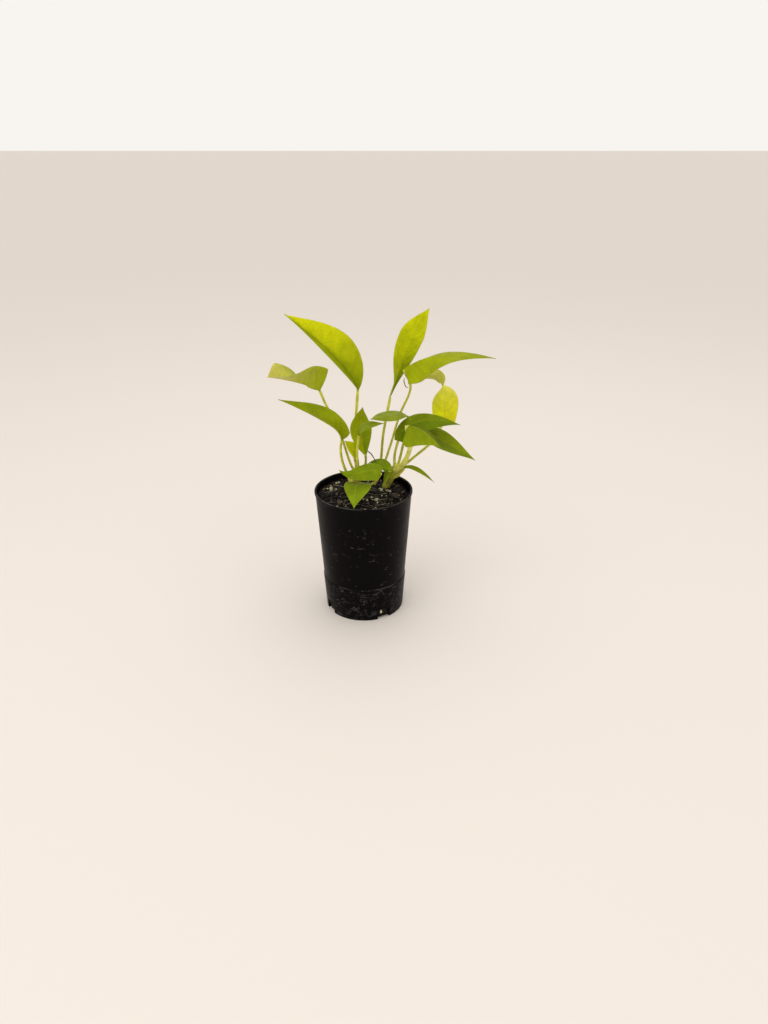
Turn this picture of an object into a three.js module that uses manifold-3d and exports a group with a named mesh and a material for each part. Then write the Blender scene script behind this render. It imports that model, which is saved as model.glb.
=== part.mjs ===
// A young pothos in a plastic nursery pot: a few rooted cuttings in one pot of potting mix.
// Millimetres, +Z up. The origin is the centre of the pot's foot, and the plant's front faces -Y.
// Every point of the plant is measured from the centre of the rim plane, so it follows the pot.
import * as THREE from "three";
import { mergeVertices } from "three/addons/utils/BufferGeometryUtils.js";
import Module from "manifold-3d";

const wasm = await Module();
wasm.setup();

// ---- Driving sizes ----

const FIT_GAP = 0.3; // left between two pieces that touch
const STEM_CLEARANCE = 0.9; // from a stem to the side of a petiole that leaves it at a slant
const AROUND = 56; // facets round the pot
const MIX_RINGS = 4; // of facets in the mound
const STEM_SIDES = 10;
const PETIOLE_SIDES = 6;
const PETIOLE_STEPS = 8; // along a petiole

const POT_HEIGHT = 133;
const RIM_DIAMETER = 100; // outside of the lip
const FOOT_DIAMETER = 82; // outside, at the table
const WALL = 1.2;
const LIP_HEIGHT = 3;
const LIP_PROUD = 0.7; // how far the lip stands out of the wall
const BAND_HEIGHT = 38; // top of the thicker band round the foot
const BAND_PROUD = 0.6;
const FLOOR_THICKNESS = 1.6;

const DRAIN_COUNT = 4;
const DRAIN_WIDTH = 14;
const DRAIN_HEIGHT = 12;
const DRAIN_REACH = 9; // how far a drain slot runs in from the outside of the wall
const DRAIN_CORNER = 3; // radius of a slot's top corners
const DRAIN_TURN = 30; // degrees from the front to the first slot, towards +X

const MIX_DROP = 7; // from the rim down to the mix at the wall
const MIX_MOUND = 2; // how much higher the mix is in the middle

const STEM_BURIED = 38; // length of each cutting below the rim plane
const PETIOLE_DIAMETER = 3;
const BLADE_THICKNESS = 0.8;

// ---- The plant, in millimetres from the centre of the rim plane ----

// Each cutting stands in the mix at foot, its axis's [x, y] there, and ends at top.
const STEMS = {
  left_front: { foot: [-12, 2], top: [-10, 0, 13], diameter: 6 },
  left_back: { foot: [-6, 22], top: [-7, 21, 17], diameter: 6 },
  right: { foot: [25, 17], top: [35, 13, 22], diameter: 8.5 },
  back: { foot: [12, 34], top: [15, 34, 15], diameter: 6 },
};

// Each leaf grows from a stem at node = [share of the visible stem, degrees round it from +X].
// bends are the points that its petiole passes through, and midrib the blade's four control points.
// face is the way that the upper side looks, and fold how far both halves rise out of flat, in
// degrees, each at the base and at the tip. halves are the widths left and right of the midrib, seen
// from above with the tip ahead. base is the width at the base as a share, widest where it is full,
// and lobe how far the base's corners reach back past the petiole, as a share of the midrib.
// stalk is the petiole's diameter where it isn't PETIOLE_DIAMETER. clear moves a leaf aside from those
// that it passes, in steps of a petiole and a blade.
const LEAVES = {
  upper_left: {
    stem: "left_back", node: [0.95, 80], bends: [[-9, 25, 40]],
    midrib: [[-5, 20, 98], [-10, 14, 122], [-35, 4, 148], [-70, -8, 178]],
    face: [[0.6, -0.75, 0.4], [0.4, -0.75, 0.7]], fold: [38, 38],
    halves: [18, 22], base: 0.05, widest: 0.53, lobe: 0,
  },
  curled_left: {
    stem: "left_back", node: [0.8, 170], bends: [[-25, 14, 61], [-36, 6, 88]],
    midrib: [[-41, 2, 103], [-55, -3, 113], [-71, -8, 117], [-88, -14, 121]],
    face: [[0, 0.82, 0.57], [0, -0.2, 1]], fold: [35, 30],
    halves: [22, 17], base: 1, widest: 0.85, lobe: -0.08,
  },
  middle_left: {
    stem: "left_front", node: [0.8, 150], bends: [[-21, 0, 31], [-22, -2, 46]],
    midrib: [[-20, -4, 55], [-25, -10, 76], [-44, -20, 89], [-77, -32, 105]],
    face: [[0.1, -0.5, 0.85], [0.1, -0.5, 0.85]], fold: [35, 15],
    halves: [9, 12], base: 0.75, widest: 0.4, lobe: -0.05,
  },
  front_centre: {
    stem: "left_front", node: [0.9, 20], bends: [[-6, -4, 40]],
    midrib: [[-4, -8, 61], [-3, -14, 75], [9, -24, 77], [21, -32, 82]],
    face: [[0, -0.6, 0.8], [0, -0.6, 0.8]], fold: [0, 0],
    halves: [6, 7], base: 0.6, widest: 0.35, lobe: 0,
  },
  upright_small: {
    stem: "left_back", node: [0.7, 0], bends: [[2, 14, 24]],
    midrib: [[2, 10, 34], [-2, 11, 49], [-4, 11, 65], [0, 10, 84]],
    face: [[0, -1, 0.1], [0, -1, 0.1]], fold: [12, 12],
    halves: [11, 11], base: 0.15, widest: 0.58, lobe: 0,
  },
  arching_centre: {
    stem: "right", node: [0.8, 70], bends: [[41, 26, 37]],
    midrib: [[46, 31, 61.5], [38.5, 23.5, 74], [21, -5, 75], [8, -22, 78.5]],
    face: [[0, -0.3, 1], [0, -0.3, 1]], fold: [8, -10],
    halves: [12, 9], base: 0.2, widest: 0.6, lobe: 0, clear: [0, 0, 1],
  },
  right_upper: {
    stem: "right", node: [0.95, 125], bends: [[32, 17, 34]],
    midrib: [[35, 11, 49.5], [39, 9, 72.5], [66, 5, 78.5], [95, -1, 70.5]],
    face: [[0, -0.6, 0.8], [0, -0.5, 0.85]], fold: [5, 0],
    halves: [9.5, 16], base: 0.4, widest: 0.45, lobe: 0, clear: [0, -1, 0],
  },
  right_front: {
    stem: "right", node: [0.95, -75], bends: [[46, -4, 48]],
    midrib: [[43, -7, 73], [50, -14, 76], [62, -24, 74], [74, -34, 61]],
    face: [[0, -0.35, 0.94], [0, -0.35, 0.94]], fold: [-40, -30],
    halves: [12, 21], base: 0.8, widest: 0.35, lobe: 0.02, stalk: 5, clear: [0, -2, 0],
  },
  right_lower: {
    stem: "right", node: [0.7, -5], bends: [[48, 13, 41]],
    midrib: [[54, 14, 56], [67, 12, 60], [87, 6, 45], [112, -4, 33]],
    face: [[0.2, -0.5, 0.85], [0.2, -0.5, 0.85]], fold: [8, 8],
    halves: [11, 14], base: 0.5, widest: 0.48, lobe: 0, stalk: 4.5,
  },
  yellow_back: {
    stem: "right", node: [0.7, 40], bends: [[55, 24, 28], [71, 34, 39]],
    midrib: [[83, 40, 59], [82, 40, 88], [85, 50, 118], [57, 56, 97]],
    face: [[0.3, -1, 0.1], [0.5, 0.6, 0.3]], fold: [0, 10],
    halves: [15, 17], base: 0.7, widest: 0.3, lobe: 0.05,
  },
  small_right: {
    stem: "right", node: [0.5, -50], bends: [],
    midrib: [[41, 8, 20], [49, 8, 24], [61, 4, 17], [72, 0, 7]],
    face: [[0, -0.5, 0.85], [0, -0.5, 0.85]], fold: [15, 15],
    halves: [2.5, 3.5], base: 0.4, widest: 0.45, lobe: 0,
  },
  low_centre: {
    stem: "right", node: [0.6, 190], bends: [[27, 10, 14]],
    midrib: [[27, 6, 17], [25, 10, 26], [15, 14, 28], [5, 16, 22]],
    face: [[0, -0.5, 0.85], [0, -0.5, 0.85]], fold: [0, 0],
    halves: [8, 4], base: 0.7, widest: 0.4, lobe: 0,
  },
  low_right: {
    stem: "right", node: [0.15, 230], bends: [],
    midrib: [[26, 2, 18], [25, -1, 17], [23, -4, 14], [20, -7, 9]],
    face: [[0, -0.5, 0.85], [0, -0.5, 0.85]], fold: [0, 0],
    halves: [4, 4], base: 0.6, widest: 0.3, lobe: 0,
  },
  low_front: {
    stem: "left_front", node: [0.5, -10], bends: [[10, -4, 8]],
    midrib: [[18, -6, 20], [9, -10, 32], [-11, -18, 16], [-24, -16, 28]],
    face: [[0, -0.5, 0.85], [0, -0.5, 0.85]], fold: [-5, -5],
    halves: [12, 10], base: 0.85, widest: 0.25, lobe: 0,
  },
  rim_front: {
    stem: "left_front", node: [0.6, 260], bends: [[-9, -8, 8]],
    midrib: [[-5, -14, 12], [-6, -26, 18], [-8, -40, 17], [-8, -51, 2]],
    face: [[0, -0.3, 1], [0, -0.6, 0.8]], fold: [8, 8],
    halves: [15, 11.5], base: 0.8, widest: 0.45, lobe: 0,
  },
  small_back: {
    stem: "left_back", node: [0.6, 210], bends: [[-8, 14, 18]],
    midrib: [[-9, 12, 30], [-11, 13, 37], [-14, 13, 42], [-19, 14, 47]],
    face: [[0.3, -0.9, 0.4], [0.3, -0.9, 0.4]], fold: [20, 20],
    halves: [4, 7], base: 0.5, widest: 0.5, lobe: 0,
  },
  upper_right: {
    stem: "back", node: [0.9, 60], bends: [[20, 37, 45]],
    midrib: [[27, 34, 86], [35, 32, 113], [44, 26, 141], [64, 20, 178]],
    face: [[0.9, -0.4, 0.1], [-0.1, -1, 0.2]], fold: [20, 8],
    halves: [14.5, 9.5], base: 0.05, widest: 0.73, lobe: 0,
  },
  right_long: {
    stem: "back", node: [0.8, -20], bends: [[28, 38, 35], [36.5, 34.5, 67], [47, 21, 101]],
    midrib: [[40, 13, 120], [51, 8, 134], [81, 0, 143], [124, -16, 139]],
    face: [[0, -0.35, 0.94], [0, -0.25, 0.97]], fold: [-45, 0],
    halves: [12, 22], base: 0.6, widest: 0.33, lobe: 0.06,
  },
};

// Loose pieces on top of the mix: [x, y, radius].
const PERLITE = [
  [-34, 12, 2.4], [-27, 28, 2], [13, -18, 2.8], [4, -16, 1.8], [3, -38, 1.6],
  [16, -38, 1.8], [18, 8, 2.4], [27, 6, 1.8],
];
const CHIP_THICKNESS = 2;
const CHIP_TURN = 0.2; // radians from +X
const BARK_CHIPS = { broad: [33, -10, 14, 9], narrow: [-24, -22, 12, 4] }; // x, y, length, width

// ---- Working values ----

const MIX_TOP = POT_HEIGHT - MIX_DROP;
const BARREL_TOP_RADIUS = RIM_DIAMETER / 2 - LIP_PROUD;
const BARREL_FOOT_RADIUS = FOOT_DIAMETER / 2 - BAND_PROUD;

// Outside of the tapered wall at a height, without the band or the lip.
function barrelRadius(z) {
  return THREE.MathUtils.lerp(BARREL_FOOT_RADIUS, BARREL_TOP_RADIUS, z / POT_HEIGHT);
}

function innerRadius(z) {
  return barrelRadius(z) - WALL;
}

function mixSurface(radius) {
  const share = radius / innerRadius(MIX_TOP);
  return MIX_TOP + MIX_MOUND * (1 - share * share);
}

// ---- Solids ----

function toSolid(geometry) {
  const bare = geometry.clone();
  bare.deleteAttribute("normal");
  bare.deleteAttribute("uv");
  const merged = mergeVertices(bare, 1e-3);
  return new wasm.Manifold(
    new wasm.Mesh({
      numProp: 3,
      vertProperties: merged.attributes.position.array,
      triVerts: new Uint32Array(merged.index.array),
    }),
  );
}

function toGeometry(solid) {
  const mesh = solid.getMesh();
  const geometry = new THREE.BufferGeometry();
  geometry.setAttribute("position", new THREE.BufferAttribute(mesh.vertProperties, 3));
  geometry.setIndex(new THREE.BufferAttribute(mesh.triVerts, 1));
  geometry.computeVertexNormals();
  return geometry;
}

// A profile of [radius, height] pairs turned about Z.
function turned(profile, facets) {
  const points = profile.map(([radius, height]) => new THREE.Vector2(radius, height));
  return new THREE.LatheGeometry(points, facets).rotateX(Math.PI / 2);
}

// A round bar along a curve.
function bar(curve, radius, sides, steps) {
  const section = new THREE.Shape();
  for (let i = 0; i < sides; i++) {
    const angle = (i / sides) * 2 * Math.PI;
    const point = [radius * Math.cos(angle), radius * Math.sin(angle)];
    if (i === 0) section.moveTo(...point);
    else section.lineTo(...point);
  }
  return new THREE.ExtrudeGeometry(section, { extrudePath: curve, steps, curveSegments: 1 });
}

function potGeometry() {
  const lipFoot = POT_HEIGHT - LIP_HEIGHT;
  const bandRadius = barrelRadius(BAND_HEIGHT) + BAND_PROUD;
  const blank = turned(
    [
      [0, 0],
      [FOOT_DIAMETER / 2, 0],
      [bandRadius, BAND_HEIGHT - BAND_PROUD],
      [barrelRadius(BAND_HEIGHT), BAND_HEIGHT],
      [barrelRadius(lipFoot), lipFoot],
      [RIM_DIAMETER / 2, lipFoot + LIP_PROUD],
      [RIM_DIAMETER / 2, POT_HEIGHT],
      [innerRadius(POT_HEIGHT), POT_HEIGHT],
      [innerRadius(FLOOR_THICKNESS), FLOOR_THICKNESS],
      [0, FLOOR_THICKNESS],
    ],
    AROUND,
  );
  let pot = toSolid(blank);
  for (let i = 0; i < DRAIN_COUNT; i++) {
    const angle = THREE.MathUtils.degToRad(DRAIN_TURN) + (i / DRAIN_COUNT) * 2 * Math.PI;
    pot = pot.subtract(toSolid(drainSlot().rotateZ(angle)));
  }
  return toGeometry(pot);
}

// The cutter of one drain slot, at the front of the pot.
function drainSlot() {
  const half = DRAIN_WIDTH / 2;
  const outside = FOOT_DIAMETER / 2 + BAND_PROUD + WALL;
  const inside = FOOT_DIAMETER / 2 - DRAIN_REACH;
  const outline = new THREE.Shape();
  outline.moveTo(-half, -WALL);
  outline.lineTo(half, -WALL);
  outline.lineTo(half, DRAIN_HEIGHT - DRAIN_CORNER);
  outline.absarc(half - DRAIN_CORNER, DRAIN_HEIGHT - DRAIN_CORNER, DRAIN_CORNER, 0, Math.PI / 2);
  outline.absarc(DRAIN_CORNER - half, DRAIN_HEIGHT - DRAIN_CORNER, DRAIN_CORNER, Math.PI / 2, Math.PI);
  const options = { depth: outside - inside, bevelEnabled: false, curveSegments: 4 };
  return new THREE.ExtrudeGeometry(outline, options).rotateX(Math.PI / 2).translate(0, -inside, 0);
}

function stemCurve({ foot, top }) {
  const [x, y] = foot;
  const rim = new THREE.Vector3(x, y, -MIX_DROP);
  const end = new THREE.Vector3(...top);
  const buried = rim.clone().lerp(end, -STEM_BURIED / (end.z + MIX_DROP));
  buried.z = -STEM_BURIED;
  return new THREE.LineCurve3(buried, end);
}

function stemGeometry(stem, clearance) {
  const { v1, v2 } = stemCurve(stem);
  const extra = v2.clone().sub(v1).setLength(clearance);
  const curve = new THREE.LineCurve3(v1.clone().sub(extra), v2);
  return bar(curve, stem.diameter / 2 + clearance, STEM_SIDES, 1);
}

function mixGeometry() {
  const skin = [];
  for (let i = 0; i <= MIX_RINGS; i++) {
    const radius = (innerRadius(MIX_TOP) - FIT_GAP) * (1 - i / MIX_RINGS);
    skin.push([radius, mixSurface(radius)]);
  }
  const floor = FLOOR_THICKNESS + FIT_GAP;
  const blank = turned([[0, floor], [innerRadius(floor) - FIT_GAP, floor], ...skin], AROUND);
  let mix = toSolid(blank);
  for (const stem of Object.values(STEMS)) {
    const hole = stemGeometry(stem, FIT_GAP);
    mix = mix.subtract(toSolid(hole.translate(0, 0, POT_HEIGHT)));
  }
  return toGeometry(mix);
}

// ---- Leaves ----

const BLADE_STEPS = 22; // along the midrib
const BLADE_STRIPS = 6; // across
const TIP_SHARE = 0.03; // width left at the tip, as a share
const SHOULDER = 1.8; // how long a blade stays wide before it narrows
const DRAWN_OUT = 1.25; // how fine its tip is drawn out
const LOBE_END = 0.4; // where along the midrib the lobes' set-back ends
const LOBE_BEND = 2.2; // how much of the set-back is near the edge
const TWIST_END = 0.85; // where along the midrib a blade has its tip's face and fold

// Width of a blade at a share s of the midrib, as a share of its full width.
function outline(s, { base, widest }) {
  if (s < widest) return base + (1 - base) * Math.sin((Math.PI / 2) * (s / widest));
  const u = (s - widest) / (1 - widest);
  return Math.max(TIP_SHARE, (1 - u ** SHOULDER) ** DRAWN_OUT);
}

// Points of a leaf, moved clear of the leaves that it passes.
function placed(points, { clear = [0, 0, 0] }) {
  const aside = new THREE.Vector3(...clear).multiplyScalar(PETIOLE_DIAMETER + BLADE_THICKNESS);
  return points.map((p) => new THREE.Vector3(...p).add(aside));
}

// A flat slab with segments, wrapped round the midrib. Across it runs from -1, the right edge, to 1.
function bladeGeometry(leaf) {
  const curve = new THREE.CubicBezierCurve3(...placed(leaf.midrib, leaf));
  const [faceBase, faceTip] = leaf.face.map((f) => new THREE.Vector3(...f).normalize());
  const length = curve.getLength();
  const slab = new THREE.BoxGeometry(1, 1, 1, BLADE_STEPS, BLADE_STRIPS, 1);
  const positions = slab.getAttribute("position");
  for (let i = 0; i < positions.count; i++) {
    const along = positions.getX(i) + 0.5;
    const across = 2 * positions.getY(i);
    const tangent = curve.getTangent(along);
    const twist = THREE.MathUtils.smoothstep(along, 0, TWIST_END);
    const side = faceBase.clone().lerp(faceTip, twist).cross(tangent).normalize();
    const up = tangent.clone().cross(side);
    const half = leaf.halves[across > 0 ? 0 : 1];
    const reach = half * outline(along, leaf) * across;
    const tilt = THREE.MathUtils.degToRad(THREE.MathUtils.lerp(...leaf.fold, twist));
    const corner = Math.abs(across) ** LOBE_BEND * Math.max(0, 1 - along / LOBE_END) ** 2;
    const point = curve.getPoint(along);
    point.addScaledVector(side, reach * Math.cos(tilt));
    point.addScaledVector(up, Math.abs(reach) * Math.sin(tilt) + BLADE_THICKNESS * positions.getZ(i));
    point.addScaledVector(tangent, -leaf.lobe * length * corner);
    positions.setXYZ(i, ...point.toArray());
  }
  return slab;
}

function petioleDiameter({ stalk }) {
  return stalk ?? PETIOLE_DIAMETER;
}

const LEAST_STOP = 0.3; // least length left out of a petiole under its blade, in its diameters

// Where a petiole leaves its stem: beside the stem's surface.
function petioleStart(leaf) {
  const { stem, node } = leaf;
  const [share, degrees] = node;
  const { foot, top, diameter } = STEMS[stem];
  const rim = new THREE.Vector3(...foot, 0);
  const end = new THREE.Vector3(...top);
  const axis = end.clone().sub(rim).normalize();
  const angle = THREE.MathUtils.degToRad(degrees);
  const away = new THREE.Vector3(Math.cos(angle), Math.sin(angle), 0).projectOnPlane(axis);
  const offset = (diameter + petioleDiameter(leaf)) / 2 + STEM_CLEARANCE;
  return rim.lerp(end, share).add(away.setLength(offset));
}

// A petiole stops short of its blade, further where the blade turns back or droops over it.
function petioleGeometry(leaf) {
  const [base, next] = placed(leaf.midrib, leaf);
  const route = [petioleStart(leaf), ...placed(leaf.bends, leaf)];
  const arrival = base.clone().sub(route.at(-1)).normalize();
  const blade = next.clone().sub(base).normalize();
  const turnedBack = Math.max(LEAST_STOP, -arrival.dot(blade));
  const drooping = Math.max(0, -Math.tan(THREE.MathUtils.degToRad(leaf.fold[0])));
  const diameter = petioleDiameter(leaf);
  const short = FIT_GAP + BLADE_THICKNESS / 2 + (turnedBack + drooping / 2) * diameter;
  route.push(base.addScaledVector(arrival, -short));
  return bar(new THREE.CatmullRomCurve3(route), diameter / 2, PETIOLE_SIDES, PETIOLE_STEPS);
}

// ---- Loose pieces ----

function grainGeometry([x, y, radius]) {
  const grain = new THREE.IcosahedronGeometry(radius, 0).rotateX(x).rotateY(y);
  const level = mixSurface(Math.hypot(x, y)) - POT_HEIGHT;
  return grain.translate(x, y, level + radius + FIT_GAP);
}

function chipGeometry([x, y, length, width]) {
  const chip = new THREE.BoxGeometry(length, width, CHIP_THICKNESS);
  const level = mixSurface(Math.hypot(x, y)) - POT_HEIGHT;
  return chip.rotateZ(CHIP_TURN).translate(x, y, level + CHIP_THICKNESS);
}

// ---- The scene graph ----

const finish = {
  pot: { color: 0x0b0b0c, roughness: 0.42 },
  mix: { color: 0x1a1310, roughness: 0.95 },
  stem: { color: 0x9aa63a, roughness: 0.5 },
  petiole: { color: 0xb4bd45, roughness: 0.45 },
  blade: { color: 0x86a60e, roughness: 0.35 },
  perlite: { color: 0xc9c3ab, roughness: 0.9 },
  bark: { color: 0x4a2c1c, roughness: 0.9 },
};

function add(group, name, geometry, look) {
  const mesh = new THREE.Mesh(geometry, new THREE.MeshStandardMaterial({ metalness: 0, ...look }));
  mesh.name = name;
  group.add(mesh);
}

const pottedPothos = new THREE.Group();
const plant = new THREE.Group();
plant.position.z = POT_HEIGHT;
pottedPothos.add(plant);

add(pottedPothos, "pot", potGeometry(), finish.pot);
add(pottedPothos, "potting_mix", mixGeometry(), finish.mix);
for (const [name, stem] of Object.entries(STEMS)) {
  add(plant, `stem_${name}`, stemGeometry(stem, 0), finish.stem);
}
for (const [name, leaf] of Object.entries(LEAVES)) {
  add(plant, `petiole_${name}`, petioleGeometry(leaf), finish.petiole);
  add(plant, `blade_${name}`, bladeGeometry(leaf), finish.blade);
}
PERLITE.forEach((grain, i) => add(plant, `perlite_grain_${i + 1}`, grainGeometry(grain), finish.perlite));
for (const [name, chip] of Object.entries(BARK_CHIPS)) {
  add(plant, `bark_chip_${name}`, chipGeometry(chip), finish.bark);
}

export default pottedPothos;
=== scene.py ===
"""A young pothos in its nursery pot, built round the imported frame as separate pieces."""

import functools
import math
import random

import bmesh
import bpy
from bpy.props import FloatProperty, FloatVectorProperty, IntProperty, PointerProperty
from mathutils import Euler, Matrix, Vector, noise


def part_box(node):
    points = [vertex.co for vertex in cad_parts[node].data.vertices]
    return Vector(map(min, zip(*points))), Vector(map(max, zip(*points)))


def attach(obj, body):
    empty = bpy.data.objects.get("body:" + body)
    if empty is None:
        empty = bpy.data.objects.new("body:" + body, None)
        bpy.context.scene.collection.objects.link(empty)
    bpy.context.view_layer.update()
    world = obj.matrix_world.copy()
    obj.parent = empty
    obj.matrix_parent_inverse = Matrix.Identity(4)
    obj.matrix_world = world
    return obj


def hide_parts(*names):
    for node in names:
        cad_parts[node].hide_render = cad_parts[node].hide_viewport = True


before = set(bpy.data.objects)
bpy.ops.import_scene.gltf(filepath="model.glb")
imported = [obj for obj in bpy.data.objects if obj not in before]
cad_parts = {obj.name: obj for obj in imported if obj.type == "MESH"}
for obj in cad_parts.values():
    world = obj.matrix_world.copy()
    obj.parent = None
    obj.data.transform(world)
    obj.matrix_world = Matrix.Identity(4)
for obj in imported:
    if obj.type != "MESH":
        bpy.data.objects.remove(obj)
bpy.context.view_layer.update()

bl_info = {
    "name": "Potted pothos",
    "version": (1, 0, 0),
    "blender": (4, 5, 0),
    "location": "3D View > Sidebar > Pothos",
    "description": "Builds a young pothos plant in its nursery pot of potting mix",
    "category": "Add Mesh",
}

MM = 0.001
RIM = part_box("pot")[1].z  # height of the rim plane
RIM_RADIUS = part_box("pot")[1].x
MIX_LOW, MIX_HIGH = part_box("potting_mix")
MIX_FOOT = 0.0393  # radius of the mix where it meets the floor of the pot
MIX_MOUND = 0.002  # how much higher the mix is in the middle
JUST_INSIDE = 0.0001  # keeps a piece from touching the box that it fills

# How far from the middle of the pot the loose pieces lie.
CRUMB_REACH = 0.0455
CHIP_REACH = 0.0415
GRAIN_REACH = 0.044
GRAIN_LIMIT = 0.045
FIBRE_REACH = 0.036
FIBRE_LIMIT = 0.0435

# Each cane stands at foot, its axis's [x, y] in the mix, and ends at top: millimetres from the
# centre of the rim plane, as all points of the plant are.
CANES = {
    "left_front": {"foot": (-12, 2), "top": (-10, 0, 13), "diameter": 6},
    "left_back": {"foot": (-6, 22), "top": (-7, 21, 17), "diameter": 6},
    "right": {"foot": (25, 17), "top": (35, 13, 22), "diameter": 8.5},
    "back": {"foot": (12, 34), "top": (15, 34, 15), "diameter": 6},
}

# Colours of the living leaf, from the palest growth to the deepest green, with painted light and shade
# mixed in: a tone is paler where a blade is lit and darker where it lies in shade.
PALE = (0.62, 0.58, 0.15)
CREAM = (0.5, 0.46, 0.09)
GLOW = (0.63, 0.64, 0.004)
YELLOW = (0.62, 0.59, 0.008)
LIME = (0.5, 0.52, 0.003)
SPRING = (0.31, 0.35, 0.003)
OLIVE = (0.25, 0.28, 0.003)
MOSS = (0.2, 0.25, 0.003)
FERN = (0.2, 0.285, 0.006)
GREEN = (0.17, 0.235, 0.003)
LEAFY = (0.145, 0.195, 0.003)
DEEP = (0.115, 0.17, 0.002)
DARK = (0.095, 0.125, 0.002)

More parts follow.
